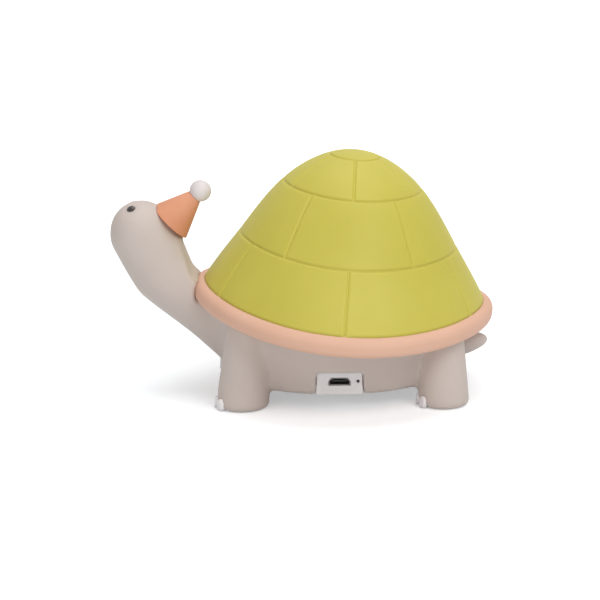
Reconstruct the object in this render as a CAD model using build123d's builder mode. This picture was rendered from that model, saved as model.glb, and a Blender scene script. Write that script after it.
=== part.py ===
# Tortoise-shaped rechargeable night light.
# Millimetres, +Z up, floor at Z = 0, head towards -X, charging socket on the -Y side.
# The origin is on the floor, in the middle of the object's box.

import os
from math import atan2, cos, degrees, hypot, radians, sin

from build123d import *

os.makedirs("parts", exist_ok=True)

# General clearances and cutting overruns
fit_gap = 0.2
seat_gap = 0.05
running_gap = 0.08
overrun = 1.0
far = 300.0

# Shell: the lit dome and its rim, tilted nose-up and drooping at the sides
shell_x = 15.5
shell_seam_height = 38.0
shell_tilt = 5.0
dome_radius = 52.0
dome_height = 51.8
dome_wall = 2.2
dome_profile_shares = ((0, 1), (0.492, 0.757), (0.770, 0.367), (1, 0), (1.12, -0.19))
saddle_radius = 280.0
groove_width = 0.7
groove_depth = 0.55
crown_groove_radius = 9.5
upper_groove_share = 0.757
lower_groove_share = 0.367
seam_pitch_angle = 60.0
seam_stagger_angle = 34.0

# Rim band round the foot of the dome
rim_half_length = 55.6
rim_half_width = 58.4
rim_height = 7.0
rim_edge_radius = 2.9
rim_inner_half_length = 41.0
rim_inner_half_width = 38.0
rim_lip_half_length = 47.0
rim_lip_half_width = 49.0
rim_lip_height = 3.0
rim_lip_wall = 2.4

# Belly: an oval bowl, open under the dome
belly_behind = 3.0
belly_bottom = 5.8
belly_height = 34.0
belly_half_length = 47.6
belly_half_width = 46.0
belly_section_shares = ((0, 0.86, 0.77), (1, 1, 1))
belly_edge_radius = 3.0
belly_wall = 2.6

# Head and neck: a thick tube with a round end
head_ahead = 74.7
head_height = 59.8
head_radius = 11.45
neck_ahead = 65.2
neck_height = 45.6
neck_radius = 11.8
neck_root_radius = 12.8
neck_slope = 41.8
neck_length = 42.0

# Legs, soles and nails
front_leg_ahead = 37.6
front_leg_out = 28.0
front_leg_lean = 3.6
rear_leg_behind = 35.6
rear_leg_out = 26.5
rear_leg_lean = 0.4
front_leg_height = 34.0
rear_leg_height = 28.5
leg_lean_in = 2.0
front_sole_radius = 9.8
front_leg_top_radius = 8.2
rear_sole_radius = 9.7
rear_leg_top_radius = 6.9
sole_edge_radius = 2.0
nail_radius = 1.7
nail_height = 4.1
nail_floor_gap = 0.3
nail_sink = 1.0
nail_spread_angle = 33.0

# Tail
tail_root_behind = 38.0
tail_height = 14.6
tail_radius = 4.6
tail_length = 16.0
tail_rise = 13.0

# Eyes
eye_radius = 1.75
eye_ahead = 3.2
eye_out = 5.0
eye_rise = 9.2

# Party hat on the back of the head
hat_behind = 11.2
hat_rise = 4.2
hat_lean = 45.0
hat_base_radius = 8.1
hat_top_radius = 2.7
hat_length = 12.6
hat_skirt = 6.0
hat_peg_radius = 1.8
hat_peg_depth = 11.0
pompom_radius = 4.0
pompom_rise = 15.3
pompom_peg_radius = 1.2
pompom_peg_depth = 6.5

# Base tray under the belly, with the socket panel on one side
tray_ahead = 2.2
tray_half_length = 29.5
tray_half_width = 22.5
tray_floor = 1.8
ledge_thickness = 2.0
ledge_half_length = 24.5
ledge_half_width = 17.5
panel_width = 16.5
panel_set_in = 10.7
panel_thickness = 1.6
panel_bottom = 6.4
panel_top = 14.6
tongue_floor = 1.6
tongue_root = 9.0

# Fasteners
base_screw_half_length = 27.0
base_screw_half_width = 20.0
base_screw_angle = 35.0
base_boss_radius = 2.6
base_boss_height = 5.0
base_screw_radius = 1.0
base_screw_length = 6.4
base_head_radius = 2.0
base_head_height = 1.0
board_screw_x = 15.5
board_screw_y = 8.3
board_boss_radius = 2.4
board_screw_radius = 0.9
board_screw_length = 5.6
board_head_radius = 1.8
board_head_height = 1.1
reflector_post_x = 28.0
reflector_post_y = 16.0
reflector_post_radius = 3.0
reflector_screw_length = 7.0

# Main board and what it carries
board_length = 36.0
board_width = 22.0
board_thickness = 1.6
board_underside = 12.5
board_tongue_width = 12.0
board_tongue_gap = 0.6
usb_width = 7.7
usb_top_width = 5.6
usb_height = 2.65
usb_shoulder = 1.5
usb_wall = 0.3
usb_depth = 5.6
usb_setback = 0.25
usb_cutout_gap = 0.15
usb_tongue_width = 4.4
usb_tongue_thickness = 0.65
usb_tongue_length = 4.2
charge_offset = 6.7
charge_height = 11.3
charge_radius = 0.6
charge_pipe_gap = 0.05
charge_pipe_setback = 0.35
charge_pipe_length = 2.6

# Power button and its switch
button_radius = 5.0
button_flange_radius = 6.2
button_flange_height = 0.9
button_proud = 0.6
button_edge_radius = 0.5
button_travel = 0.6
switch_size = 6.0
switch_height = 3.1
plunger_radius = 1.7
plunger_seat = 2.0

# Battery, foam pad and leads
cell_length = 25.0
cell_width = 20.0
cell_height = 8.0
cell_edge_radius = 1.6
pad_height = 0.8
pad_inset = 2.0
connector_length = 4.0
connector_width = 6.0
connector_height = 4.0
connector_x = 16.0
lead_radius = 0.6
lead_bend_radius = 1.3
lead_pitch = 2.4
battery_lead_height = 5.4

# Reflector and light board
reflector_height = 25.0
reflector_end_gap = 9.6
reflector_side_gap = 15.0
reflector_thickness = 1.6
reflector_rim_height = 3.0
reflector_rim_wall = 1.4
reflector_lead_hole_radius = 2.8
light_board_radius = 14.5
light_board_thickness = 1.2
light_chip_length = 3.5
light_chip_width = 2.8
light_chip_height = 0.8
light_chip_count = 8
light_chip_circle_radius = 9.5
light_lead_x = 18.5
light_lead_pad_x = 12.5
light_lead_loop = 2.6

# Places worked out from the sizes above
shell_plane = Plane(
    origin=(shell_x, 0, shell_seam_height),
    x_dir=(cos(radians(shell_tilt)), 0, -sin(radians(shell_tilt))),
    z_dir=(sin(radians(shell_tilt)), 0, cos(radians(shell_tilt))),
)
head_x = shell_x - head_ahead
hat_plane = Plane(
    origin=(head_x + hat_behind, 0, head_height + hat_rise),
    x_dir=(cos(radians(hat_lean)), 0, -sin(radians(hat_lean))),
    z_dir=(sin(radians(hat_lean)), 0, cos(radians(hat_lean))),
)
belly_x = shell_x - belly_behind
tray_x = shell_x - tray_ahead
panel_out = belly_half_width - panel_set_in
reflector_half_length = belly_half_length - reflector_end_gap
reflector_half_width = belly_half_width - reflector_side_gap
tray_top = belly_bottom + tray_floor
cavity_floor = tray_top + ledge_thickness
board_top = board_underside + board_thickness
neck_x = shell_x - neck_ahead
reflector_top = reflector_height + reflector_thickness
light_board_top = reflector_top + light_board_thickness


def save(piece, name):
    piece.part.label = name
    export_step(piece.part, f"parts/{name}.step")


# Everything below a surface that droops to the sides from a level of the shell
def saddle(level, mode):
    with Locations((0, 0, level - saddle_radius)):
        Cylinder(saddle_radius, far, rotation=(0, 90, 0), mode=mode)


# Half of the dome's section, inset evenly from its outside
def dome_profile(inset):
    radius = dome_radius - inset
    height = dome_height - inset
    points = [(r * radius, z * height) for r, z in dome_profile_shares]
    with BuildSketch(Plane.XZ) as section:
        with BuildLine():
            Spline(*points, tangents=[(1, 0), (radius, -height)])
            Polyline(points[-1], (0, points[-1][1]), points[0])
        make_face()
    return section.sketch


# A layer of the dome between two insets
def dome_layer(outer, inner):
    with BuildPart() as layer:
        with BuildSketch(Plane.XZ) as section:
            add(dome_profile(outer))
            add(dome_profile(inner), mode=Mode.SUBTRACT)
        revolve(section.sketch, axis=Axis.Z)
    return layer.part


groove_layer = dome_layer(0, groove_depth)
upper_level = upper_groove_share * dome_height
lower_level = lower_groove_share * dome_height


# A groove that runs round the dome at a level
def ring_groove(level):
    with BuildPart() as groove:
        add(groove_layer)
        saddle(level + groove_width / 2, Mode.INTERSECT)
        saddle(level - groove_width / 2, Mode.SUBTRACT)
    return groove.part


# Upright grooves between two levels
def seam_grooves(upper, lower, angles):
    with BuildPart() as groove:
        with Locations(*[Rotation(0, 0, angle) for angle in angles]):
            Box(groove_width, far, far, align=(Align.CENTER, Align.MAX, Align.CENTER))
        saddle(upper, Mode.INTERSECT)
        saddle(lower, Mode.SUBTRACT)
        Cylinder(crown_groove_radius, far, mode=Mode.SUBTRACT)
        add(groove_layer, mode=Mode.INTERSECT)
    return groove.part


even_angles = [step * seam_pitch_angle for step in range(round(360 / seam_pitch_angle))]
staggered_angles = [
    half + turn
    for half in (0, 180)
    for turn in (-seam_stagger_angle, seam_stagger_angle, 90)
]

# The groove round the small plate at the crown
with BuildPart() as crown_groove:
    with BuildSketch():
        Circle(crown_groove_radius + groove_width / 2)
        Circle(crown_groove_radius - groove_width / 2, mode=Mode.SUBTRACT)
    extrude(amount=dome_height)
    add(groove_layer, mode=Mode.INTERSECT)

with BuildPart() as dome_form:
    add(dome_layer(0, dome_wall))
    saddle(seat_gap, Mode.SUBTRACT)
    add(crown_groove.part, mode=Mode.SUBTRACT)
    for level in (upper_level, lower_level):
        add(ring_groove(level), mode=Mode.SUBTRACT)
    add(seam_grooves(dome_height, upper_level, even_angles), mode=Mode.SUBTRACT)
    add(seam_grooves(upper_level, lower_level, staggered_angles), mode=Mode.SUBTRACT)
    add(seam_grooves(lower_level, 0, even_angles), mode=Mode.SUBTRACT)

with BuildPart(shell_plane) as shade_dome:
    add(dome_form.part)
save(shade_dome, "shade_dome")


# An upright oval, open inside where a hole is given, between two drooping levels
def oval_band(half_length, half_width, hole_length, hole_width, upper, lower):
    with BuildPart() as band:
        with BuildSketch(Plane.XY.offset(-dome_height)):
            Ellipse(half_length, half_width)
            if hole_length:
                Ellipse(hole_length, hole_width, mode=Mode.SUBTRACT)
        extrude(amount=2 * dome_height)
        saddle(upper, Mode.INTERSECT)
        saddle(lower, Mode.SUBTRACT)
    return band.part


# Rim band, with a lip that stands inside the foot of the dome
with BuildPart() as rim_form:
    add(
        oval_band(
            rim_half_length,
            rim_half_width,
            rim_inner_half_length,
            rim_inner_half_width,
            0,
            -rim_height,
        )
    )
    rim_edges = rim_form.edges().sort_by(SortBy.LENGTH)[-2:]
    fillet(rim_edges, rim_edge_radius)
    add(
        oval_band(
            rim_lip_half_length,
            rim_lip_half_width,
            rim_lip_half_length - rim_lip_wall,
            rim_lip_half_width - rim_lip_wall,
            rim_lip_height,
            -rim_height / 2,
        )
    )

with BuildPart(shell_plane) as rim_ring:
    add(rim_form.part)
save(rim_ring, "rim_ring")


# Space inside the rim's outline, with a small gap to the body, from the rim's foot up to a level
def space_from_rim(upper):
    with BuildPart(shell_plane) as space:
        add(
            oval_band(
                rim_half_length + fit_gap,
                rim_half_width + fit_gap,
                0,
                0,
                upper,
                -rim_height - seat_gap,
            )
        )
    return space.part


# Space that the rim alone and the foot of the dome take up
rim_space = space_from_rim(fit_gap)
with BuildPart(shell_plane) as dome_space:
    add(oval_band(dome_radius + fit_gap, dome_radius + fit_gap, 0, 0, dome_height / 2, 0))


# A round-ended, slightly tapering tube in the middle plane of the animal, sloping down to +X
def limb(x, z, slope, round_radius, end_radius, length):
    with BuildPart() as form:
        with BuildSketch(Plane.XZ):
            with BuildLine():
                RadiusArc((0, -round_radius), (round_radius, 0), -round_radius)
                Polyline((round_radius, 0), (end_radius, length), (0, length), (0, -round_radius))
            make_face()
        revolve(axis=Axis.Z)
    down = Plane(origin=(x, 0, z), x_dir=(0, 1, 0), z_dir=(cos(radians(slope)), 0, -sin(radians(slope))))
    with BuildPart(down) as placed:
        add(form.part)
    return placed.part


# Head and neck: two such tubes that meet at the bend of the neck
head_slope = degrees(atan2(head_height - neck_height, neck_x - head_x))
head_length = hypot(head_height - neck_height, neck_x - head_x)
with BuildPart() as head_form:
    add(limb(head_x, head_height, head_slope, head_radius, neck_radius, head_length))
    add(limb(neck_x, neck_height, neck_slope, neck_radius, neck_root_radius, neck_length))


# The belly's oval bowl between two heights, inset evenly from its outside
def belly_form(inset, floor):
    with BuildPart() as bowl:
        for rise, length_share, width_share in belly_section_shares:
            with BuildSketch(Plane((belly_x, 0, max(floor, belly_bottom + rise * belly_height)))):
                Ellipse(
                    length_share * belly_half_length - inset,
                    width_share * belly_half_width - inset,
                )
        loft()
    return bowl


belly_outside = belly_form(0, belly_bottom)
belly_cavity = belly_form(belly_wall, cavity_floor)

# Feet: centre of the sole, its radius, the leg's top radius and height, its lean and side
feet = [
    (shell_x - front_leg_ahead, side * front_leg_out, front_sole_radius,
     front_leg_top_radius, front_leg_height, front_leg_lean, side)
    for side in (-1, 1)
] + [
    (shell_x + rear_leg_behind, side * rear_leg_out, rear_sole_radius,
     rear_leg_top_radius, rear_leg_height, rear_leg_lean, side)
    for side in (-1, 1)
]


def leg_form(x, y, sole, top, height, lean, side):
    with BuildPart() as leg:
        with BuildSketch(Plane((x, y, 0))):
            Circle(sole)
        with BuildSketch(Plane((x + lean, y - side * leg_lean_in, height))):
            Circle(top)
        loft()
        fillet(leg.edges().sort_by(Axis.Z)[0], sole_edge_radius)
    return leg.part


# Tail: a stub with a round tip
tail_plane = Plane(
    origin=(shell_x + tail_root_behind, 0, tail_height),
    x_dir=(0, 1, 0),
    z_dir=(cos(radians(tail_rise)), 0, sin(radians(tail_rise))),
)
tail_bulge_shares = ((1, 0), (0.95, 0.6), (0.6, 1), (0, 1))
with BuildPart() as tail_form:
    with BuildSketch(Plane.XZ):
        with BuildLine():
            Bezier(*[(r * tail_radius, z * tail_length) for r, z in tail_bulge_shares])
            Polyline((0, tail_length), (0, 0), (tail_radius, 0))
        make_face()
    revolve(axis=Axis.Z)
with BuildPart(tail_plane) as tail_placed:
    add(tail_form.part)

# Toenails: upright, round-topped pegs sunk in the fronts of the feet
nail_straight = nail_height - nail_radius
with BuildPart() as nail_form:
    with BuildSketch(Plane.XZ):
        with BuildLine():
            Line((0, 0), (nail_radius, 0))
            Line((nail_radius, 0), (nail_radius, nail_straight))
            RadiusArc((nail_radius, nail_straight), (0, nail_height), -nail_radius)
            Line((0, nail_height), (0, 0))
        make_face()
    revolve(axis=Axis.Z)
with BuildPart() as toenails:
    for x, y, sole, *rest in feet:
        for turn in (-nail_spread_angle, 0, nail_spread_angle):
            reach = sole - nail_sink
            across = reach * sin(radians(turn))
            with Locations((x - reach * cos(radians(turn)), y + across, nail_floor_gap)):
                add(nail_form.part)
save(toenails, "toenails")


# Bead eyes, one on each side of the head
def eye_bead(side):
    with BuildPart(Plane((head_x - eye_ahead, side * eye_out, head_height + eye_rise))) as bead:
        Sphere(eye_radius)
    return bead


left_eye = eye_bead(-1)
save(left_eye, "left_eye")
right_eye = eye_bead(1)
save(right_eye, "right_eye")

# Party hat: a cone whose foot follows the head, on a peg
hat_taper = (hat_base_radius - hat_top_radius) / hat_length
with BuildPart() as hat_cone:
    with BuildSketch(hat_plane.offset(-hat_skirt)):
        Circle(hat_base_radius + hat_taper * hat_skirt)
    with BuildSketch(hat_plane.offset(hat_length)):
        Circle(hat_top_radius)
    loft()
    add(head_form.part, mode=Mode.SUBTRACT)
    with BuildSketch(hat_plane.offset(-hat_peg_depth)):
        Circle(hat_peg_radius)
    extrude(amount=hat_peg_depth + hat_skirt)
    with BuildSketch(hat_plane.offset(pompom_rise - pompom_peg_depth)):
        Circle(pompom_peg_radius)
    extrude(amount=pompom_peg_depth, mode=Mode.SUBTRACT)
    with Locations(hat_plane.offset(pompom_rise).location):
        Sphere(pompom_radius, mode=Mode.SUBTRACT)
save(hat_cone, "hat_cone")

# Pom-pom on the hat's tip, on its own peg
with BuildPart(hat_plane.offset(pompom_rise)) as hat_pompom:
    Sphere(pompom_radius)
    Cylinder(pompom_peg_radius, pompom_peg_depth, align=(Align.CENTER, Align.CENTER, Align.MAX))
save(hat_pompom, "hat_pompom")

# Fixing places about the middle of the tray
base_screw_spots = [
    (
        tray_x + base_screw_half_length * cos(radians(half + turn)),
        base_screw_half_width * sin(radians(half + turn)),
    )
    for half in (0, 180)
    for turn in (-base_screw_angle, base_screw_angle)
]
board_spots = [
    (tray_x + x * board_screw_x, y * board_screw_y) for x in (-1, 1) for y in (-1, 1)
]
reflector_spots = [
    (tray_x + x * reflector_post_x, y * reflector_post_y) for x in (-1, 1) for y in (-1, 1)
]

# Body casing: belly, neck, head, legs and tail in one moulding
with BuildPart() as body_casing:
    add(belly_outside.part)
    fillet(body_casing.edges().sort_by(Axis.Z)[0], belly_edge_radius)
    for foot in feet:
        add(leg_form(*foot))
    add(tail_placed.part)
    add(space_from_rim(dome_height / 2), mode=Mode.SUBTRACT)
    add(head_form.part)
    add(belly_cavity.part, mode=Mode.SUBTRACT)
    with BuildSketch(Plane.XY.offset(cavity_floor)):
        with Locations(*base_screw_spots):
            Circle(base_boss_radius)
    extrude(amount=base_boss_height)
    with BuildSketch(Plane.XY.offset(cavity_floor)):
        with Locations(*reflector_spots):
            Circle(reflector_post_radius)
    extrude(amount=reflector_height - cavity_floor)
    add(rim_space, mode=Mode.SUBTRACT)
    add(dome_space.part, mode=Mode.SUBTRACT)
    # Rebate and opening for the base tray
    with BuildSketch(Plane((tray_x, 0, belly_bottom))):
        Ellipse(tray_half_length + fit_gap, tray_half_width + fit_gap)
    extrude(amount=tray_floor, mode=Mode.SUBTRACT)
    with BuildSketch(Plane((tray_x, 0, belly_bottom))):
        Ellipse(ledge_half_length, ledge_half_width)
    extrude(amount=cavity_floor - belly_bottom, mode=Mode.SUBTRACT)
    with BuildSketch(Plane((tray_x, 0, belly_bottom))):
        Rectangle(panel_width + 2 * fit_gap, far, align=(Align.CENTER, Align.MAX))
    extrude(amount=panel_top + fit_gap - belly_bottom, mode=Mode.SUBTRACT)
    # Pilot holes
    with BuildSketch(Plane.XY.offset(tray_top)):
        with Locations(*base_screw_spots):
            Circle(base_screw_radius)
    extrude(amount=ledge_thickness + base_boss_height - overrun, mode=Mode.SUBTRACT)
    with BuildSketch(Plane.XY.offset(reflector_height)):
        with Locations(*reflector_spots):
            Circle(board_screw_radius)
    extrude(amount=-reflector_screw_length, mode=Mode.SUBTRACT)
    # Sockets for the eyes, the hat's peg and the nails
    add(left_eye.part, mode=Mode.SUBTRACT)
    add(right_eye.part, mode=Mode.SUBTRACT)
    with BuildSketch(hat_plane.offset(-hat_peg_depth - fit_gap)):
        Circle(hat_peg_radius + running_gap)
    extrude(amount=hat_peg_depth + hat_skirt, mode=Mode.SUBTRACT)
    add(toenails.part, mode=Mode.SUBTRACT)
save(body_casing, "body_casing")

# Base tray: an oval plate in the belly's rebate, with a tongue out to the socket panel
tray_plane = Plane((tray_x, 0, belly_bottom))
usb_middle = board_underside - usb_height / 2


# The socket's outline, seen from outside, grown evenly by a margin
def usb_outline(margin):
    half = usb_width / 2 + margin
    top_half = usb_top_width / 2 + margin
    low = usb_height / 2 + margin
    shoulder = usb_shoulder - usb_height / 2
    with BuildSketch() as outline:
        Polygon(
            (-half, -low), (half, -low), (half, shoulder), (top_half, low),
            (-top_half, low), (-half, shoulder), align=None,
        )
    return outline.sketch


with BuildPart() as base_tray:
    with BuildSketch(tray_plane):
        Ellipse(tray_half_length, tray_half_width)
    extrude(amount=tray_floor)
    with BuildSketch(Plane((tray_x, -panel_out, panel_bottom))):
        Rectangle(panel_width, panel_out - tongue_root, align=(Align.CENTER, Align.MIN))
    extrude(amount=tongue_floor)
    with BuildSketch(Plane((tray_x, -panel_out, panel_bottom))):
        Rectangle(panel_width, panel_thickness, align=(Align.CENTER, Align.MIN))
    extrude(amount=panel_top - panel_bottom)
    with BuildSketch(Plane.XY.offset(tray_top)):
        with Locations(*board_spots):
            Circle(board_boss_radius)
    extrude(amount=board_underside - tray_top)
    # Button bore
    with BuildSketch(tray_plane):
        Circle(button_radius + running_gap)
    extrude(amount=tray_floor, mode=Mode.SUBTRACT)
    # Screw holes and their head recesses
    with BuildSketch(tray_plane):
        with Locations(*[(x - tray_x, y) for x, y in base_screw_spots]):
            Circle(base_screw_radius + running_gap)
    extrude(amount=tray_floor, mode=Mode.SUBTRACT)
    with BuildSketch(tray_plane):
        with Locations(*[(x - tray_x, y) for x, y in base_screw_spots]):
            Circle(base_head_radius + running_gap)
    extrude(amount=base_head_height, mode=Mode.SUBTRACT)
    with BuildSketch(Plane.XY.offset(board_underside)):
        with Locations(*board_spots):
            Circle(board_screw_radius)
    extrude(amount=-(board_screw_length - board_thickness + running_gap), mode=Mode.SUBTRACT)
    # Socket opening and the hole for the charge light
    with BuildSketch(Plane(origin=(tray_x, -panel_out, usb_middle), x_dir=(1, 0, 0), z_dir=(0, -1, 0))):
        add(usb_outline(usb_cutout_gap))
    extrude(amount=-panel_thickness, mode=Mode.SUBTRACT)
    with BuildSketch(Plane(origin=(tray_x + charge_offset, -panel_out, charge_height),
                           x_dir=(1, 0, 0), z_dir=(0, -1, 0))):
        Circle(charge_radius)
    extrude(amount=-panel_thickness, mode=Mode.SUBTRACT)
save(base_tray, "base_tray")


# Round-headed screws pointing up (+1) or down (-1) from where their heads sit
def screws(spots, seat, way, shank, length, head, head_height):
    with BuildPart() as group:
        with BuildSketch(Plane.XY.offset(seat)):
            with Locations(*spots):
                Circle(shank)
        extrude(amount=way * length)
        with BuildSketch(Plane.XY.offset(seat)):
            with Locations(*spots):
                Circle(head)
        extrude(amount=-way * head_height)
    return group


base_screws = screws(
    base_screw_spots, belly_bottom + base_head_height, 1,
    base_screw_radius, base_screw_length, base_head_radius, base_head_height,
)
save(base_screws, "base_screws")
board_screws = screws(
    board_spots, board_top, -1,
    board_screw_radius, board_screw_length, board_head_radius, board_head_height,
)
save(board_screws, "board_screws")
reflector_screws = screws(
    reflector_spots, reflector_top, -1,
    board_screw_radius, reflector_screw_length, board_head_radius, board_head_height,
)
save(reflector_screws, "reflector_screws")

# Main board, with a tongue that carries the socket up to the panel
board_reach = panel_out - panel_thickness - board_tongue_gap
with BuildPart() as main_board:
    with BuildSketch(Plane((tray_x, 0, board_underside))):
        Rectangle(board_length, board_width)
        Rectangle(board_tongue_width, board_reach, align=(Align.CENTER, Align.MAX))
        with Locations(*[(x - tray_x, y) for x, y in board_spots]):
            Circle(board_screw_radius + running_gap, mode=Mode.SUBTRACT)
    extrude(amount=board_thickness)
save(main_board, "main_board")

# Charging socket: a folded metal shell with an insulating tongue
usb_front = Plane(origin=(tray_x, -panel_out + usb_setback, usb_middle), x_dir=(1, 0, 0), z_dir=(0, -1, 0))
with BuildPart() as usb_shell:
    with BuildSketch(usb_front):
        add(usb_outline(0))
    extrude(amount=-usb_depth)
    with BuildSketch(usb_front):
        add(usb_outline(-usb_wall))
    extrude(amount=-(usb_depth - usb_wall), mode=Mode.SUBTRACT)
save(usb_shell, "usb_shell")
with BuildPart() as usb_tongue:
    with BuildSketch(usb_front.offset(-(usb_depth - usb_wall))):
        Rectangle(usb_tongue_width, usb_tongue_thickness)
    extrude(amount=usb_tongue_length)
save(usb_tongue, "usb_tongue")

# Charge light: a smoked pipe in the panel and a chip behind it
pipe_front = Plane(
    origin=(tray_x + charge_offset, -panel_out + charge_pipe_setback, charge_height),
    x_dir=(1, 0, 0), z_dir=(0, -1, 0),
)
with BuildPart() as charge_pipe:
    with BuildSketch(pipe_front):
        Circle(charge_radius - charge_pipe_gap)
    extrude(amount=-charge_pipe_length)
    with BuildSketch(pipe_front.offset(-(panel_thickness - charge_pipe_setback))):
        Circle(2 * charge_radius)
    extrude(amount=-(charge_pipe_length - panel_thickness + charge_pipe_setback))
save(charge_pipe, "charge_pipe")

# Tact switch under the board, over the button
with BuildPart() as tact_switch:
    with BuildSketch(Plane((tray_x, 0, board_underside))):
        Rectangle(switch_size, switch_size)
    extrude(amount=-switch_height)
    with BuildSketch(Plane((tray_x, 0, board_underside - switch_height))):
        Circle(plunger_radius + running_gap)
    extrude(amount=plunger_seat + button_travel, mode=Mode.SUBTRACT)
save(tact_switch, "tact_switch")

# Power button: a round cap held in by its flange
button_top = tray_top + running_gap + button_flange_height
with BuildPart() as power_button:
    with BuildSketch(Plane((tray_x, 0, belly_bottom - button_proud))):
        Circle(button_radius)
    extrude(amount=button_top - belly_bottom + button_proud)
    fillet(power_button.edges().sort_by(Axis.Z)[0], button_edge_radius)
    with BuildSketch(Plane((tray_x, 0, button_top))):
        Circle(button_flange_radius)
    extrude(amount=-button_flange_height)
save(power_button, "power_button")

# The switch's plunger rides on the button
with BuildPart() as switch_plunger:
    with BuildSketch(Plane((tray_x, 0, button_top))):
        Circle(plunger_radius)
    extrude(amount=board_underside - switch_height + plunger_seat - button_top)
save(switch_plunger, "switch_plunger")

# Rechargeable cell on a foam pad
with BuildPart() as battery_pad:
    with BuildSketch(Plane((tray_x, 0, board_top))):
        Rectangle(cell_length - pad_inset, cell_width - pad_inset)
    extrude(amount=pad_height)
save(battery_pad, "battery_pad")
cell_bottom = board_top + pad_height
with BuildPart() as battery_cell:
    with BuildSketch(Plane((tray_x, 0, cell_bottom))):
        Rectangle(cell_length, cell_width)
    extrude(amount=cell_height)
    fillet(battery_cell.edges().filter_by(Axis.Y), cell_edge_radius)
save(battery_cell, "battery_cell")
with BuildPart() as battery_connector:
    with BuildSketch(Plane((tray_x - connector_x, 0, board_top))):
        Rectangle(connector_length, connector_width)
    extrude(amount=connector_height)
save(battery_connector, "battery_connector")


# A wire that follows corner points with rounded bends
def wire(points):
    with BuildPart() as lead:
        with BuildLine() as route:
            FilletPolyline(*points, radius=lead_bend_radius)
        with BuildSketch(Plane(origin=route.line @ 0, z_dir=route.line % 0)):
            Circle(lead_radius)
        sweep()
    return lead


lead_level = cell_bottom + battery_lead_height
for side, name in ((-1, "battery_lead_positive"), (1, "battery_lead_negative")):
    y = side * lead_pitch / 2
    lead = wire((
        (tray_x - cell_length / 2, y, lead_level),
        (tray_x - connector_x, y, lead_level),
        (tray_x - connector_x, y, board_top + connector_height),
    ))
    save(lead, name)

# Reflector dish over the battery
with BuildPart() as reflector_plate:
    with BuildSketch(Plane((tray_x, 0, reflector_height))):
        Ellipse(reflector_half_length, reflector_half_width)
    extrude(amount=reflector_thickness)
    with BuildSketch(Plane((tray_x, 0, reflector_top))):
        Ellipse(reflector_half_length, reflector_half_width)
        Ellipse(
            reflector_half_length - reflector_rim_wall,
            reflector_half_width - reflector_rim_wall,
            mode=Mode.SUBTRACT,
        )
    extrude(amount=reflector_rim_height)
    with BuildSketch(Plane((tray_x, 0, reflector_height))):
        with Locations(*[(x - tray_x, y) for x, y in reflector_spots]):
            Circle(board_screw_radius + running_gap)
        with Locations((light_lead_x, 0)):
            Circle(reflector_lead_hole_radius)
    extrude(amount=reflector_thickness, mode=Mode.SUBTRACT)
save(reflector_plate, "reflector_plate")

# Light board on the reflector, with a ring of chips
with BuildPart() as light_board:
    with BuildSketch(Plane((tray_x, 0, reflector_top))):
        Circle(light_board_radius)
    extrude(amount=light_board_thickness)
save(light_board, "light_board")
with BuildPart() as light_chips:
    with BuildSketch(Plane((tray_x, 0, light_board_top))):
        with PolarLocations(light_chip_circle_radius, light_chip_count, start_angle=180 / light_chip_count):
            Rectangle(light_chip_length, light_chip_width)
    extrude(amount=light_chip_height)
save(light_chips, "light_chips")

# Leads from the main board up through the reflector to the light board
for side, name in ((-1, "light_lead_positive"), (1, "light_lead_negative")):
    y = side * lead_pitch / 2
    lead = wire((
        (tray_x + light_lead_x, y, board_top),
        (tray_x + light_lead_x, y, light_board_top + light_lead_loop),
        (tray_x + light_lead_pad_x, y, light_board_top + light_lead_loop),
        (tray_x + light_lead_pad_x, y, light_board_top),
    ))
    save(lead, name)
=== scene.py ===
import math

import bmesh
import bpy
import numpy as np
from mathutils import Matrix, Vector


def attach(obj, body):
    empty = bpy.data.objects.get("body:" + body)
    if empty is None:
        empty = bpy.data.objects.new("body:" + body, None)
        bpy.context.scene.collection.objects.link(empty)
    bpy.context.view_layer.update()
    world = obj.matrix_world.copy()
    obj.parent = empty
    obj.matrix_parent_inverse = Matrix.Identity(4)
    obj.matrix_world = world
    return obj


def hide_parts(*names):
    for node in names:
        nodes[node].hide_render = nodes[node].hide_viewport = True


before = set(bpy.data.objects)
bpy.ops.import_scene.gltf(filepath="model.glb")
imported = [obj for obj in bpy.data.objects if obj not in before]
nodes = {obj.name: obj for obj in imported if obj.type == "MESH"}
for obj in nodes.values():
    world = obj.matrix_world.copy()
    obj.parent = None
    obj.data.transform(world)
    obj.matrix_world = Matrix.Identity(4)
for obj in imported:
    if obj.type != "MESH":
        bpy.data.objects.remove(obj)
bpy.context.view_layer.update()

mm = 0.001
mergeGap = 0.002 * mm  # a CAD node's loose corners closer than this are one
weldGap = 0.01 * mm  # the same for the pieces made here
scene = bpy.context.scene
scene.view_settings.view_transform = "Standard"

# The shell's own frame, as in the solids: nose-up tilt, levels that droop to the sides
shell = {"x": 15.5, "seam": 38.0, "tilt": 5.0, "droopRadius": 280.0}
shellMatrix = (
    Matrix.Translation((shell["x"] * mm, 0, shell["seam"] * mm))
    @ Matrix.Rotation(math.radians(shell["tilt"]), 4, "Y")
)


# Colour and node helpers
def hexLinear(code):
    parts = [int(code[i:i + 2], 16) / 255 for i in (1, 3, 5)]
    linear = [c / 12.92 if c <= 0.04045 else ((c + 0.055) / 1.055) ** 2.4 for c in parts]
    return (*linear, 1.0)


def addNode(tree, kind, settings=None, inputs=None, links=None):
    node = tree.nodes.new(kind)
    for key, value in (settings or {}).items():
        setattr(node, key, value)
    for key, value in (inputs or {}).items():
        node.inputs[key].default_value = value
    for key, socket in (links or {}).items():
        tree.links.new(socket, node.inputs[key])
    return node


def newMaterial(name):
    material = bpy.data.materials.new(name)
    material.use_nodes = True
    tree = material.node_tree
    tree.nodes.clear()
    shader = addNode(tree, "ShaderNodeBsdfPrincipled")
    addNode(tree, "ShaderNodeOutputMaterial", links={"Surface": shader.outputs["BSDF"]})
    return material, tree, shader


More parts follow.
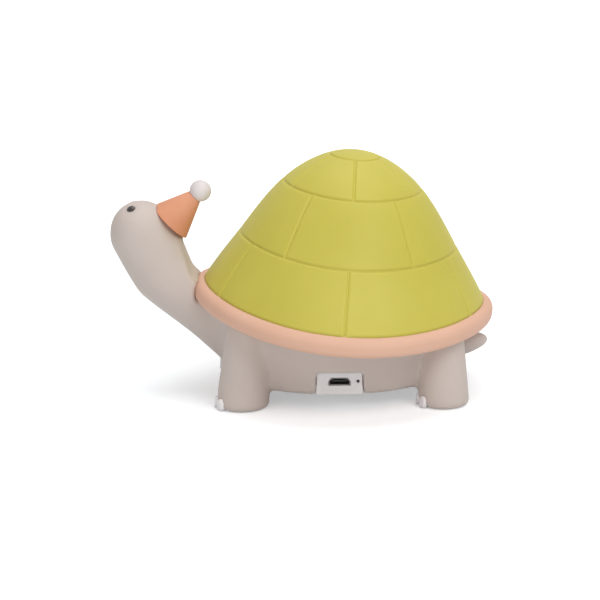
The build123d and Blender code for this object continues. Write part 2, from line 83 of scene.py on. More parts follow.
# Moulded plastic: slow drift in tone, a fine spark-eroded grain and slightly uneven gloss
moulding = {
    "ior": 1.5, "specular": 0.4, "driftDetail": 3.0, "driftRoughness": 0.5, "driftSpan": (0.3, 0.7),
    "grainDetail": 2.0, "grainRoughness": 0.6,
}


def mouldedPlastic(name, look):
    material, tree, shader = newMaterial(name)
    shader.inputs["IOR"].default_value = moulding["ior"]
    shader.inputs["Specular IOR Level"].default_value = look.get("specular", moulding["specular"])
    if look.get("glow"):
        shader.inputs["Subsurface Weight"].default_value = look["glow"]
        shader.inputs["Subsurface Radius"].default_value = look["glowRadius"]
        shader.inputs["Subsurface Scale"].default_value = 1.0
    place = addNode(tree, "ShaderNodeTexCoord").outputs["Object"]
    drift = addNode(
        tree, "ShaderNodeTexNoise",
        inputs={"Scale": 1 / (look["driftSize"] * mm), "Detail": moulding["driftDetail"],
                "Roughness": moulding["driftRoughness"]},
        links={"Vector": place},
    )
    tone = addNode(tree, "ShaderNodeValToRGB", links={"Fac": drift.outputs["Fac"]})
    for end, position, colour in zip(
        tone.color_ramp.elements, moulding["driftSpan"], (look["dark"], look["light"]),
    ):
        end.position = position
        end.color = hexLinear(colour)
    tree.links.new(tone.outputs["Color"], shader.inputs["Base Color"])
    grain = addNode(
        tree, "ShaderNodeTexNoise",
        inputs={"Scale": 1 / (look["grainSize"] * mm), "Detail": moulding["grainDetail"],
                "Roughness": moulding["grainRoughness"]},
        links={"Vector": place},
    )
    gloss = addNode(
        tree, "ShaderNodeMapRange",
        inputs={"To Min": look["gloss"][0], "To Max": look["gloss"][1]},
        links={"Value": grain.outputs["Fac"]},
    )
    tree.links.new(gloss.outputs["Result"], shader.inputs["Roughness"])
    bump = addNode(
        tree, "ShaderNodeBump",
        inputs={"Strength": look["grainStrength"], "Distance": look["grainDepth"] * mm},
        links={"Height": grain.outputs["Fac"]},
    )
    tree.links.new(bump.outputs["Normal"], shader.inputs["Normal"])
    return material


# Plated metal: faint mottled tone under an even sheen
def platedSteel(name, look):
    material, tree, shader = newMaterial(name)
    shader.inputs["Metallic"].default_value = 1.0
    place = addNode(tree, "ShaderNodeTexCoord").outputs["Object"]
    mottle = addNode(
        tree, "ShaderNodeTexNoise",
        inputs={"Scale": 1 / (look["mottle"] * mm), "Detail": look["mottleDetail"]},
        links={"Vector": place},
    )
    tone = addNode(tree, "ShaderNodeValToRGB", links={"Fac": mottle.outputs["Fac"]})
    tone.color_ramp.elements[0].color = hexLinear(look["dark"])
    tone.color_ramp.elements[1].color = hexLinear(look["light"])
    tree.links.new(tone.outputs["Color"], shader.inputs["Base Color"])
    shader.inputs["Roughness"].default_value = look["roughness"]
    return material


# Sizes in millimetres, the glow's radius in metres; every grain is drawn coarser than the real one,
# so that it shows
plasticLooks = {
    # Frosted polypropylene shade: a soft, slightly deep green without a hard highlight
    "frostedShadeGreen": {"dark": "#C0B546", "light": "#C9BE52", "driftSize": 40, "grainSize": 0.5,
                          "grainStrength": 0.25, "grainDepth": 0.03, "gloss": (0.5, 0.62),
                          "glow": 0.12, "glowRadius": (0.004, 0.0035, 0.001)},
    # Soft-touch vinyl of the rim: matt peach, pale along its rounded edge
    "softVinylPeach": {"dark": "#D8AA90", "light": "#DFB39B", "driftSize": 35, "grainSize": 0.4,
                       "grainStrength": 0.2, "grainDepth": 0.03, "gloss": (0.55, 0.68)},
    # Soft-touch vinyl of the body: matt warm grey, even all over
    "softVinylGrey": {"dark": "#C6B8AF", "light": "#CEC1B9", "driftSize": 30, "grainSize": 0.4,
                      "grainStrength": 0.2, "grainDepth": 0.03, "gloss": (0.55, 0.7)},
    # Sprayed vinyl of the hat: flat terracotta with a little mottle
    "sprayedVinylTerracotta": {"dark": "#D8926F", "light": "#E29F7D", "driftSize": 12, "grainSize": 0.35,
                               "grainStrength": 0.25, "grainDepth": 0.03, "gloss": (0.55, 0.7)},
    # Sprayed vinyl of the pom-pom: a chalky off-white
    "sprayedVinylWhite": {"dark": "#DCD3D2", "light": "#E6DEDD", "driftSize": 6, "grainSize": 0.35,
                          "grainStrength": 0.3, "grainDepth": 0.03, "gloss": (0.55, 0.7)},
    # Painted nails: a cleaner white with a faint sheen
    "paintedNailWhite": {"dark": "#EAE5E5", "light": "#F2EEEE", "driftSize": 4, "grainSize": 0.3,
                         "grainStrength": 0.15, "grainDepth": 0.02, "gloss": (0.4, 0.5)},
    # Moulded ABS of the base plate: white with a satin sheen
    "mouldedAbsWhite": {"dark": "#E4E0DF", "light": "#ECE9E8", "driftSize": 15, "grainSize": 0.3,
                        "grainStrength": 0.2, "grainDepth": 0.02, "gloss": (0.42, 0.55)},
    # Moulded ABS of the push button: the same satin, a shade darker
    "mouldedAbsLightGrey": {"dark": "#C9C6C4", "light": "#D2CFCD", "driftSize": 8, "grainSize": 0.3,
                            "grainStrength": 0.2, "grainDepth": 0.02, "gloss": (0.42, 0.55)},
    # Polished acrylic bead: near black with one small highlight
    "polishedBeadBlack": {"dark": "#1A130E", "light": "#261C15", "driftSize": 2, "grainSize": 0.6,
                          "grainStrength": 0.02, "grainDepth": 0.01, "gloss": (0.08, 0.14),
                          "specular": 0.6},
    # Epoxy solder mask of the main board: deep green, glossy
    "solderMaskGreen": {"dark": "#1E5A34", "light": "#27683E", "driftSize": 5, "grainSize": 0.4,
                        "grainStrength": 0.1, "grainDepth": 0.02, "gloss": (0.25, 0.4)},
    # White solder mask of the light board and its reflector plate: clean and bright
    "solderMaskWhite": {"dark": "#ECECEA", "light": "#F4F4F2", "driftSize": 5, "grainSize": 0.4,
                        "grainStrength": 0.1, "grainDepth": 0.02, "gloss": (0.3, 0.45)},
    # Moulded nylon of the switch and socket tongue: dull black
    "nylonInsulatorBlack": {"dark": "#171717", "light": "#202020", "driftSize": 3, "grainSize": 0.3,
                            "grainStrength": 0.1, "grainDepth": 0.02, "gloss": (0.4, 0.55)},
    # Smoked acrylic light pipe: a dark, glossy dot
    "smokedAcrylic": {"dark": "#0D0D0D", "light": "#151414", "driftSize": 2, "grainSize": 0.3,
                      "grainStrength": 0.02, "grainDepth": 0.01, "gloss": (0.1, 0.18)},
    # Shrink wrap of the cell: smooth, glossy blue
    "shrinkWrapBlue": {"dark": "#39506F", "light": "#425B7C", "driftSize": 8, "grainSize": 0.5,
                       "grainStrength": 0.15, "grainDepth": 0.03, "gloss": (0.2, 0.32)},
    # Closed-cell foam pad: black and quite dry
    "closedCellFoam": {"dark": "#1C1C1C", "light": "#2A2A2A", "driftSize": 2, "grainSize": 0.4,
                       "grainStrength": 0.6, "grainDepth": 0.1, "gloss": (0.85, 0.95)},
    # Moulded nylon connector: warm ivory
    "nylonIvory": {"dark": "#E4DCC6", "light": "#ECE5D2", "driftSize": 3, "grainSize": 0.3,
                   "grainStrength": 0.1, "grainDepth": 0.02, "gloss": (0.4, 0.5)},
    # Extruded vinyl wire sleeves: plain colours with a soft sheen
    "wireSleeveRed": {"dark": "#A52222", "light": "#B42C2C", "driftSize": 4, "grainSize": 0.3,
                      "grainStrength": 0.1, "grainDepth": 0.02, "gloss": (0.3, 0.4)},
    "wireSleeveBlack": {"dark": "#161616", "light": "#1F1F1F", "driftSize": 4, "grainSize": 0.3,
                        "grainStrength": 0.1, "grainDepth": 0.02, "gloss": (0.3, 0.4)},
    # Phosphor in silicone on the light chips: smooth yellow
    "phosphorYellow": {"dark": "#E5C95C", "light": "#EFD572", "driftSize": 1, "grainSize": 0.2,
                       "grainStrength": 0.1, "grainDepth": 0.02, "gloss": (0.25, 0.35)},
}
materials = {name: mouldedPlastic(name, look) for name, look in plasticLooks.items()}
steelLooks = {
    # Zinc-plated screws: cool, bright and slightly cloudy
    "zincPlatedSteel": {"dark": "#A9ABAF", "light": "#C6C8CB", "mottle": 0.6, "mottleDetail": 4.0,
                        "roughness": 0.32},
    # Nickel-plated socket shell: dull, its colour painted dark all over as painted shade for where it is
    # set back
    "nickelPaintedShade": {"dark": "#5F5A55", "light": "#7C766F", "mottle": 0.5, "mottleDetail": 4.0,
                   "roughness": 0.4},
}
materials.update({name: platedSteel(name, look) for name, look in steelLooks.items()})
print("materials", len(materials))


# Finishing a piece: link, material, body, and the nodes it stands for
def finishPiece(name, mesh, material, replaced, body="lamp"):
    piece = bpy.data.objects.new(name, mesh)
    scene.collection.objects.link(piece)
    mesh.materials.clear()
    mesh.materials.append(materials[material])
    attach(piece, body)
    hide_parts(*replaced)
    return piece


def meshFrom(bm, name, smoothAngle=None):
    mesh = bpy.data.meshes.new(name)
    bm.to_mesh(mesh)
    bm.free()
    mesh.shade_smooth()
    if smoothAngle:
        mesh.set_sharp_from_angle(angle=math.radians(smoothAngle))
    return mesh


# A CAD node's triangles, joined up into one skin
def mergedCopy(node):
    bm = bmesh.new()
    bm.from_mesh(nodes[node].data)
    bmesh.ops.remove_doubles(bm, verts=bm.verts, dist=mergeGap)
    return bm


# Voxel remesh of a finished mesh, through a throw-away object
def remeshed(mesh, size):
    holder = bpy.data.objects.new("remeshHolder", mesh)
    scene.collection.objects.link(holder)
    modifier = holder.modifiers.new("remesh", "REMESH")
    modifier.mode = "VOXEL"
    modifier.voxel_size = size * mm
    solved = holder.evaluated_get(bpy.context.evaluated_depsgraph_get())
    result = bpy.data.meshes.new_from_object(solved)
    bpy.data.objects.remove(holder)
    return result


# Shade: a grid bent over the dome, whose rows and columns follow the grooves
shade = {
    "radius": 52.0, "height": 51.8, "wall": 2.0, "seatGap": 0.05,
    "profileShares": ((0, 1), (0.492, 0.757), (0.770, 0.367), (1, 0), (1.12, -0.19)),
    "crownRadius": 9.5, "ringShares": (0.757, 0.367),
    "evenSeams": (0, 60, 120, 180, 240, 300), "staggeredSeams": (34, 90, 146, 214, 270, 326),
    "grooveSteps": ((-1.0, 0.0), (-0.62, 0.06), (-0.36, 0.55), (-0.14, 0.95),
                    (0.14, 0.95), (0.36, 0.55), (0.62, 0.06), (1.0, 0.0)),
    "grooveDepth": 0.55, "rowStep": 2.2, "columnStep": 3.0, "seamMargin": 7.0, "profileSamples": 1500,
}


# Smooth curve through the profile points, with given directions at both ends
def profileCurve(points, startWay, endWay, count):
    points = np.array(points, float)
    gaps = np.linalg.norm(np.diff(points, axis=0), axis=1)
    knots = np.concatenate([[0], np.cumsum(gaps)])
    n = len(points)
    system = np.zeros((n, n))
    right = np.zeros((n, 2))
    system[0, 0] = system[-1, -1] = 1
    right[0] = np.array(startWay) / np.linalg.norm(startWay)
    right[-1] = np.array(endWay) / np.linalg.norm(endWay)
    for i in range(1, n - 1):
        before, after = gaps[i - 1], gaps[i]
        system[i, i - 1:i + 2] = after, 2 * (before + after), before
        right[i] = 3 * (after / before * (points[i] - points[i - 1])
                        + before / after * (points[i + 1] - points[i]))
    slopes = np.linalg.solve(system, right)
    samples = []
    for u in np.linspace(0, knots[-1], count):
        i = min(np.searchsorted(knots, u, "right") - 1, n - 2)
        h = gaps[i]
        t = (u - knots[i]) / h
        samples.append(
            (2 * t**3 - 3 * t**2 + 1) * points[i] + (t**3 - 2 * t**2 + t) * h * slopes[i]
            + (3 * t**2 - 2 * t**3) * points[i + 1] + (t**3 - t**2) * h * slopes[i + 1]
        )
    return np.array(samples)


def droopAt(y):
    return shell["droopRadius"] - np.sqrt(shell["droopRadius"] ** 2 - y * y)


def makeShade(spec):
    points = [(r * spec["radius"], z * spec["height"]) for r, z in spec["profileShares"]]
    curve = profileCurve(points, (1, 0), (spec["radius"], -spec["height"]), spec["profileSamples"])
    radii, heights = curve[:, 0], curve[:, 1]
    lengths = np.concatenate([[0], np.cumsum(np.linalg.norm(np.diff(curve, axis=0), axis=1))])
    ways = np.gradient(curve, axis=0)
    ways /= np.linalg.norm(ways, axis=1)[:, None]

    # Rows down the profile: plain ones as far as a groove, then the groove's own
    crownAt = float(np.interp(spec["crownRadius"], radii, lengths))
    ringHeights = [share * spec["height"] for share in spec["ringShares"]]
    ringsAt = [float(np.interp(-height, -heights, lengths)) for height in ringHeights]
    footAt = float(np.interp(-spec["seatGap"], -heights, lengths))
    rows = []
    last = 0.0
    for centre in (crownAt, *ringsAt, None):
        stop = footAt if centre is None else centre + spec["grooveSteps"][0][0]
        count = max(2, round((stop - last) / spec["rowStep"]))
        first = 0 if last == 0 else 1
        for k in range(first, count + (1 if centre is None else 0)):
            rows.append((last + (stop - last) * k / count, 0.0))
        if centre is not None:
            rows += [(centre + step, deep) for step, deep in spec["grooveSteps"]]
            last = centre + spec["grooveSteps"][-1][0]

    # Columns round the shade, with a bundle at each seam
    seams = [(angle, "even") for angle in spec["evenSeams"]]
    seams += [(angle, "staggered") for angle in spec["staggeredSeams"]]
    seams.sort()
    columns = []
    for i, (angle, kind) in enumerate(seams):
        following = seams[(i + 1) % len(seams)][0] + (360 if i + 1 == len(seams) else 0)
        columns += [(angle, step, deep, kind) for step, deep in spec["grooveSteps"]]
        first, last = angle + spec["seamMargin"], following - spec["seamMargin"]
        count = round((last - first) / spec["columnStep"])
        columns += [(first + (last - first) * k / count, 0.0, 0.0, None) for k in range(count + 1)]
    columns.append((columns[0][0] + 360, *columns[0][1:]))

    # The flat grid's corners move to their places on the dome, the grooves pressed in along the wall
    bm = bmesh.new()
    bmesh.ops.create_grid(bm, x_segments=len(columns) - 1, y_segments=len(rows) - 1, size=1)
    for vert in bm.verts:
        angle, step, deepColumn, kind = columns[round((vert.co.x + 1) / 2 * (len(columns) - 1))]
        along, deepRow = rows[round((1 - vert.co.y) / 2 * (len(rows) - 1))]
        level = float(np.interp(along, lengths, heights))
        baseRadius = float(np.interp(along, lengths, radii))
        turn = math.radians(angle - 90) + step / max(baseRadius, spec["crownRadius"])
        r = float(np.interp(-level, -heights - droopAt(radii * math.sin(turn)), radii))
        z = level - float(droopAt(r * math.sin(turn)))
        inBand = crownAt < along < ringsAt[0] or along > ringsAt[1]
        if kind == "staggered":
            inBand = ringsAt[0] < along < ringsAt[1]
        deep = max(deepRow, deepColumn if inBand else 0.0) * spec["grooveDepth"]
        way = ways[int(np.argmin(np.abs(heights - z)))]
        r, z = r + way[1] * deep, z - way[0] * deep
        vert.co = Vector((r * math.cos(turn), r * math.sin(turn), z)) * mm
    bmesh.ops.remove_doubles(bm, verts=bm.verts, dist=weldGap)
    bmesh.ops.transform(bm, matrix=shellMatrix, verts=bm.verts)
    mesh = meshFrom(bm, "frostedShade")
    piece = finishPiece("frostedShade", mesh, "frostedShadeGreen", ["shade_dome"])
    divide = piece.modifiers.new("round", "SUBSURF")
    divide.levels = divide.render_levels = 1
    wall = piece.modifiers.new("wall", "SOLIDIFY")
    wall.thickness = spec["wall"] * mm
    wall.offset = -1
    return piece


makeShade(shade)
print("shade")

# Rim: a rounded band spun round, made oval and bent down at the sides
rim = {
    "outer": (55.6, 58.4), "inner": (41.0, 38.0), "height": 7.0, "edgeRadius": 2.9,
    "edgeSegments": 8, "turns": 192, "smoothAngle": 40,
}


def makeRim(spec):
    bm = bmesh.new()
    corners = [(spec["inner"][0], 0), (spec["outer"][0], 0),
               (spec["outer"][0], -spec["height"]), (spec["inner"][0], -spec["height"])]
    verts = [bm.verts.new((x * mm, 0, z * mm)) for x, z in corners]
    for i in range(len(verts)):
        bm.edges.new((verts[i - 1], verts[i]))
    bmesh.ops.bevel(
        bm, geom=[verts[1], verts[2]], offset=spec["edgeRadius"] * mm, offset_type="OFFSET",
        segments=spec["edgeSegments"], profile=0.5, affect="VERTICES", material=-1,
    )
    bmesh.ops.spin(
        bm, geom=bm.verts[:] + bm.edges[:], cent=(0, 0, 0), axis=(0, 0, 1),
        angle=2 * math.pi, steps=spec["turns"], use_merge=True,
    )
    spanX = spec["outer"][0] - spec["inner"][0]
    spanY = spec["outer"][1] - spec["inner"][1]
    for vert in bm.verts:
        turn = math.atan2(vert.co.y, vert.co.x)
        share = (math.hypot(vert.co.x, vert.co.y) / mm - spec["inner"][0]) / spanX
        y = (spec["inner"][1] + share * spanY) * math.sin(turn)
        vert.co = Vector((
            (spec["inner"][0] + share * spanX) * math.cos(turn), y, vert.co.z / mm - droopAt(y),
        )) * mm
    bmesh.ops.remove_doubles(bm, verts=bm.verts, dist=weldGap)
    bmesh.ops.recalc_face_normals(bm, faces=bm.faces)
    bmesh.ops.transform(bm, matrix=shellMatrix, verts=bm.verts)
    mesh = meshFrom(bm, "softRim", spec["smoothAngle"])
    return finishPiece("softRim", mesh, "softVinylPeach", ["rim_ring"])


makeRim(rim)
print("rim")

# Body: the casing's own form, with the creases between belly, legs, neck and tail filled
casing = {
    "voxel": 0.8, "fillRounds": 60, "fillShare": 0.6, "softRounds": 4, "softShare": 0.5,
    "fillLow": 6.5, "notchHalf": 10.0, "notchX": 13.3, "notchY": -26.0,
    "throat": (-58.0, 0.0, 40.0), "throatReach": 30.0, "throatFull": 1.9, "throatUnder": (2.0, 0.4),
    "rimFront": 56.0, "rimTop": 0.1, "napeSlope": 0.42, "napeReach": 14.0,
    "napeSpread": 2, "napeRounds": 14,
}


# Fuller throat under the chin, and a nape that runs straight down to the rim's outer edge
def shapeNeck(places, normals, spec):
    away = np.linalg.norm(places - np.array(spec["throat"]) * mm, axis=1)
    swell = np.clip(1 - away / (spec["throatReach"] * mm), 0, 1)
    steep, start = spec["throatUnder"]
    swell = swell * swell * (3 - 2 * swell) * np.clip(-normals[:, 2] * steep + start, 0, 1)
    places += normals * swell[:, None] * spec["throatFull"] * mm
    inverse = np.array(shellMatrix.inverted())
    turn, shift = inverse[:3, :3], inverse[:3, 3]
    local = (places @ turn.T + shift) / mm
    above = local[:, 2] + droopAt(local[:, 1]) - spec["rimTop"]
    limit = -spec["rimFront"] - spec["napeSlope"] * above
    move = (above > 0) & (above < spec["napeReach"]) & (local[:, 0] > limit) & (local[:, 0] < 0)
    local[move, 0] = limit[move]
    places[move] = (local[move] * mm - shift) @ turn
    return places, move


# Hollows are raised towards their neighbours' mean; the soles and the panel's notch are held
def fillCreases(mesh, spec):
    count = len(mesh.vertices)
    places = np.zeros(count * 3)
    mesh.vertices.foreach_get("co", places)
    places = places.reshape(-1, 3)
    pairs = np.zeros(len(mesh.edges) * 2, int)
    mesh.edges.foreach_get("vertices", pairs)
    pairs = pairs.reshape(-1, 2)
    sharing = np.bincount(pairs.ravel(), minlength=count)[:, None]
    rest = places / mm
    held = rest[:, 2] < spec["fillLow"]
    held |= (abs(rest[:, 0] - spec["notchX"]) < spec["notchHalf"]) & (rest[:, 1] < spec["notchY"])
    free = ~held[:, None]

    def neighbourMean():
        total = np.zeros_like(places)
        for axis in range(3):
            total[:, axis] = (
                np.bincount(pairs[:, 0], places[pairs[:, 1], axis], count)
                + np.bincount(pairs[:, 1], places[pairs[:, 0], axis], count)
            )
        return total / sharing

    def currentNormals():
        mesh.vertices.foreach_set("co", places.ravel())
        mesh.update()
        normals = np.zeros(count * 3)
        mesh.vertex_normals.foreach_get("vector", normals)
        return normals.reshape(-1, 3)

    places, nape = shapeNeck(places, currentNormals(), spec)
    nape = nape.astype(float)
    for _ in range(spec["napeSpread"]):
        nape[pairs.ravel()] = np.maximum(nape[pairs.ravel()], nape[pairs[:, ::-1].ravel()])
    for _ in range(spec["napeRounds"]):
        places += (neighbourMean() - places) * spec["softShare"] * nape[:, None]
    for _ in range(spec["fillRounds"]):
        normals = currentNormals()
        move = ((neighbourMean() - places) * normals).sum(1, keepdims=True)
        places += normals * np.clip(move, 0, None) * spec["fillShare"] * free
    for _ in range(spec["softRounds"]):
        places += (neighbourMean() - places) * spec["softShare"]
    mesh.vertices.foreach_set("co", places.ravel())
    mesh.update()


def makeCasing(spec):
    skin = remeshed(meshFrom(mergedCopy("body_casing"), "casingSkin"), spec["voxel"])
    fillCreases(skin, spec)
    skin.shade_smooth()
    return finishPiece("softCasing", skin, "softVinylGrey", ["body_casing"])


makeCasing(casing)
print("casing")

# Hat: the solid's cone with its hem cut level and its edges softened
hat = {
    "voxel": 0.3, "softRounds": 2, "softShare": 0.5, "cutGap": 0.001,
    "foot": (-48.0, 0.0, 64.0), "lean": 45.0, "skirt": 1.0,
}


def makeHat(spec):
    lean = math.radians(spec["lean"])
    axis = Vector((math.sin(lean), 0, math.cos(lean)))
    bm = mergedCopy("hat_cone")
    cut = bmesh.ops.bisect_plane(
        bm, geom=bm.verts[:] + bm.edges[:] + bm.faces[:], dist=spec["cutGap"] * mm,
        plane_co=(Vector(spec["foot"]) - axis * spec["skirt"]) * mm, plane_no=axis, clear_inner=True,
    )
    hem = [part for part in cut["geom_cut"] if isinstance(part, bmesh.types.BMEdge)]
    bmesh.ops.holes_fill(bm, edges=hem, sides=0)
    skin = remeshed(meshFrom(bm, "hatSkin"), spec["voxel"])
    bm = bmesh.new()
    bm.from_mesh(skin)
    for _ in range(spec["softRounds"]):
        bmesh.ops.smooth_vert(
            bm, verts=bm.verts, factor=spec["softShare"],
            use_axis_x=True, use_axis_y=True, use_axis_z=True,
        )
    mesh = meshFrom(bm, "partyHat")
    return finishPiece("partyHat", mesh, "sprayedVinylTerracotta", ["hat_cone"])


makeHat(hat)


# Pom-pom: the solid's own ball, joined up and smooth
pompom = {"smoothAngle": 35}


def makePompom(spec):
    mesh = meshFrom(mergedCopy("hat_pompom"), "hatPompom", spec["smoothAngle"])
    return finishPiece("hatPompom", mesh, "sprayedVinylWhite", ["hat_pompom"])


makePompom(pompom)

# Eyes: beads pressed nearly flush into the head
eyes = {"head": (-59.2, 0.0, 59.8), "headRadius": 11.45, "across": 0.95, "high": 0.85, "proud": 0.35}


def makeEye(name, node, spec):
    bm = mergedCopy(node)
    head = Vector(spec["head"]) * mm
    middle = sum((v.co for v in bm.verts), Vector()) / len(bm.verts)
    way = (middle - head).normalized()
    turn = way.to_track_quat("Z", "Y").to_matrix().to_4x4()
    place = Matrix.Translation(head + way * spec["headRadius"] * mm) @ turn
    bmesh.ops.scale(
        bm, vec=(spec["across"], spec["high"], spec["proud"]), space=place.inverted(), verts=bm.verts,
    )
    return finishPiece(name, meshFrom(bm, name), "polishedBeadBlack", [node])


makeEye("leftEyeBead", "left_eye", eyes)
makeEye("rightEyeBead", "right_eye", eyes)

# Toenails: the pegs' faces kept just proud of the feet
nails = {
    # For each pair of feet: x, distance out, radius at the sole and at the top, height
    "feet": ((-22.1, 28.0, 9.8, 8.2, 34.0), (51.1, 26.5, 9.7, 6.9, 28.5)),
    "proud": 0.3, "smoothAngle": 50,
}


def makeNails(spec):
    bm = mergedCopy("toenails")
    bmesh.ops.subdivide_edges(bm, edges=bm.edges, cuts=1, use_grid_fill=True)
    for vert in bm.verts:
        co = vert.co / mm
        x, out, sole, top, height = min(spec["feet"], key=lambda foot: abs(co.x - foot[0] + foot[2]))
        y = math.copysign(out, co.y)
        reach = math.hypot(co.x - x, co.y - y)
        limit = sole + (top - sole) * co.z / height + spec["proud"]
        if reach > limit:
            vert.co.x = (x + (co.x - x) * limit / reach) * mm
            vert.co.y = (y + (co.y - y) * limit / reach) * mm
    mesh = meshFrom(bm, "paintedToenails", spec["smoothAngle"])
    return finishPiece("paintedToenails", mesh, "paintedNailWhite", ["toenails"])


makeNails(nails)
print("hat, eyes and nails")

# Base tray and push button: flat faces joined up and their edges eased
tray = {"edge": 0.25, "segments": 2, "angle": 30, "flatAngle": 1}


def makeEased(name, node, material, spec, body="lamp"):
    bm = mergedCopy(node)
    bmesh.ops.dissolve_limit(
        bm, angle_limit=math.radians(spec["flatAngle"]), verts=bm.verts, edges=bm.edges,
        use_dissolve_boundaries=False, delimit={"NORMAL"},
    )
    piece = finishPiece(name, meshFrom(bm, name, spec["angle"]), material, [node], body)
    ease = piece.modifiers.new("ease", "BEVEL")
    ease.width = spec["edge"] * mm
    ease.segments = spec["segments"]
    ease.limit_method = "ANGLE"
    ease.angle_limit = math.radians(spec["angle"])
    return piece


makeEased("baseTray", "base_tray", "mouldedAbsWhite", tray)
makeEased("pushButton", "power_button", "mouldedAbsLightGrey", tray, "button")

# The other CAD pieces keep their shapes and get their finishes
keptFinishes = {
    "base_screws": "zincPlatedSteel", "board_screws": "zincPlatedSteel",
    "reflector_screws": "zincPlatedSteel", "usb_shell": "nickelPaintedShade",
    "main_board": "solderMaskGreen", "light_board": "solderMaskWhite",
    "usb_tongue": "nylonInsulatorBlack", "tact_switch": "nylonInsulatorBlack",
    "switch_plunger": "nylonInsulatorBlack", "charge_pipe": "smokedAcrylic",
    "battery_pad": "closedCellFoam", "battery_cell": "shrinkWrapBlue",
    "battery_connector": "nylonIvory", "battery_lead_positive": "wireSleeveRed",
    "battery_lead_negative": "wireSleeveBlack", "light_lead_positive": "wireSleeveRed",
    "light_lead_negative": "wireSleeveBlack", "reflector_plate": "solderMaskWhite",
    "light_chips": "phosphorYellow",
}
for node, material in keptFinishes.items():
    nodes[node].data.materials.clear()
    nodes[node].data.materials.append(materials[material])
print("tray, button and inner pieces")

# Paper floor, white to the eye, with the lamp's own shadow on it; sizes in metres
floorSpec = {
    "half": 5.0, "colour": "#EFF3F6", "nearLift": 0.36, "farLift": 0.66, "near": 0.1, "far": 0.7,
}


# One where the camera, a reflection or clear plastic looks, nought for light that only bounces
def seenDirectly(tree):
    path = addNode(tree, "ShaderNodeLightPath")
    seen = path.outputs["Is Camera Ray"]
    for ray in ("Is Glossy Ray", "Is Transmission Ray"):
        either = addNode(
            tree, "ShaderNodeMath", {"operation": "MAXIMUM"}, links={0: seen, 1: path.outputs[ray]},
        )
        seen = either.outputs["Value"]
    return seen


def makeFloor(spec):
    bm = bmesh.new()
    bmesh.ops.create_grid(bm, x_segments=1, y_segments=1, size=spec["half"])
    mesh = meshFrom(bm, "studioFloor")
    material = bpy.data.materials.new("paperFloor")
    material.use_nodes = True
    tree = material.node_tree
    tree.nodes.clear()
    matt = addNode(tree, "ShaderNodeBsdfDiffuse", inputs={"Color": hexLinear(spec["colour"])})
    place = addNode(tree, "ShaderNodeTexCoord").outputs["Object"]
    away = addNode(tree, "ShaderNodeVectorMath", {"operation": "LENGTH"}, links={0: place})
    glow = addNode(
        tree, "ShaderNodeMapRange", links={"Value": away.outputs["Value"]},
        inputs={"From Min": spec["near"], "From Max": spec["far"],
                "To Min": spec["nearLift"], "To Max": spec["farLift"]},
    )
    lift = addNode(
        tree, "ShaderNodeMath", {"operation": "MULTIPLY"},
        links={0: seenDirectly(tree), 1: glow.outputs["Result"]},
    )
    white = addNode(tree, "ShaderNodeEmission", links={"Strength": lift.outputs["Value"]})
    both = addNode(tree, "ShaderNodeAddShader")
    tree.links.new(matt.outputs["BSDF"], both.inputs[0])
    tree.links.new(white.outputs["Emission"], both.inputs[1])
    addNode(tree, "ShaderNodeOutputMaterial", links={"Surface": both.outputs["Shader"]})
    mesh.materials.append(material)
    floor = bpy.data.objects.new("studioFloor", mesh)
    scene.collection.objects.link(floor)


makeFloor(floorSpec)

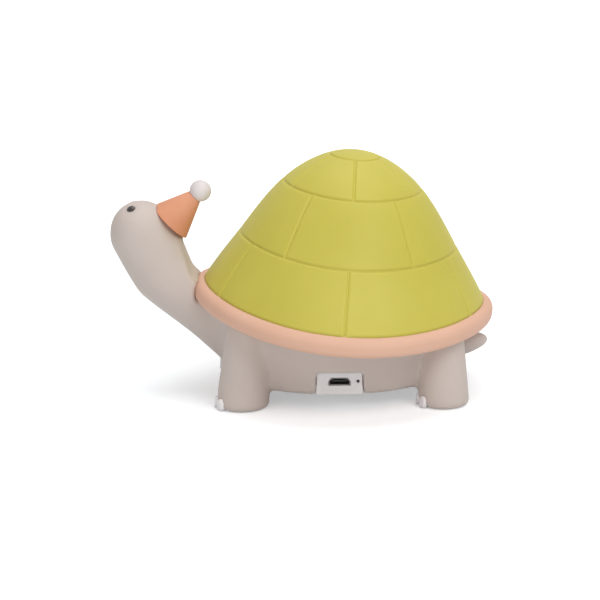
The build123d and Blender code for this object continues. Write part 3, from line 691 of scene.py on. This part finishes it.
# World: white where the camera looks past everything, even grey light elsewhere
worldSpec = {"ambient": 0.42, "seen": 1.0, "colour": "#FFFFFF"}
world = bpy.data.worlds.new("studioWorld")
scene.world = world
world.use_nodes = True
worldTree = world.node_tree
worldTree.nodes.clear()
strength = addNode(
    worldTree, "ShaderNodeMapRange",
    inputs={"To Min": worldSpec["ambient"], "To Max": worldSpec["seen"]},
    links={"Value": seenDirectly(worldTree)},
)
sky = addNode(
    worldTree, "ShaderNodeBackground", inputs={"Color": hexLinear(worldSpec["colour"])},
    links={"Strength": strength.outputs["Result"]},
)
addNode(worldTree, "ShaderNodeOutputWorld", links={"Surface": sky.outputs["Background"]})

# Soft boxes: a key from the upper right, a broad top light and a weak fill; metres and watts
lamps = {
    "keyBox": {"place": (0.5, -0.75, 0.85), "size": 0.7, "power": 4.7},
    "topBox": {"place": (0.1, 0.2, 1.25), "size": 1.1, "power": 6.6},
    "fillBox": {"place": (-0.35, -1.05, 0.25), "size": 0.9, "power": 2.3},
}
lampTarget = Vector((0, 0, 0.04))
for name, spec in lamps.items():
    light = bpy.data.lights.new(name, "AREA")
    light.shape = "DISK"
    light.size = spec["size"]
    light.energy = spec["power"]
    lamp = bpy.data.objects.new(name, light)
    scene.collection.objects.link(lamp)
    lamp.location = spec["place"]
    lamp.rotation_euler = (lampTarget - lamp.location).to_track_quat("-Z", "Y").to_euler()

# Camera: the photograph's low side view, in millimetres and degrees; the shift frames it as there
view = {
    "elevation": 13.28, "turn": 0.55, "roll": 0.34, "distance": 955.0, "millimetresPerPixel": 0.3718,
    "target": (15.5, 0.0, 35.0), "targetPixel": (344.14, 294.87), "framePixels": 600, "sensor": 36.0,
}


def makeCamera(spec):
    up, side = math.radians(spec["elevation"]), math.radians(spec["turn"])
    back = Vector((-math.sin(side) * math.cos(up), -math.cos(side) * math.cos(up), math.sin(up)))
    data = bpy.data.cameras.new("photoCamera")
    data.sensor_width = spec["sensor"]
    frameWidth = spec["framePixels"] * spec["millimetresPerPixel"]
    data.lens = spec["sensor"] * spec["distance"] / frameWidth
    data.shift_x = 0.5 - spec["targetPixel"][0] / spec["framePixels"]
    data.shift_y = spec["targetPixel"][1] / spec["framePixels"] - 0.5
    camera = bpy.data.objects.new("photoCamera", data)
    scene.collection.objects.link(camera)
    camera.location = (Vector(spec["target"]) + back * spec["distance"]) * mm
    roll = Matrix.Rotation(math.radians(-spec["roll"]), 3, "Z")
    camera.rotation_euler = (back.to_track_quat("Z", "Y").to_matrix() @ roll).to_euler()
    scene.camera = camera


makeCamera(view)
print("stage, lights and camera")
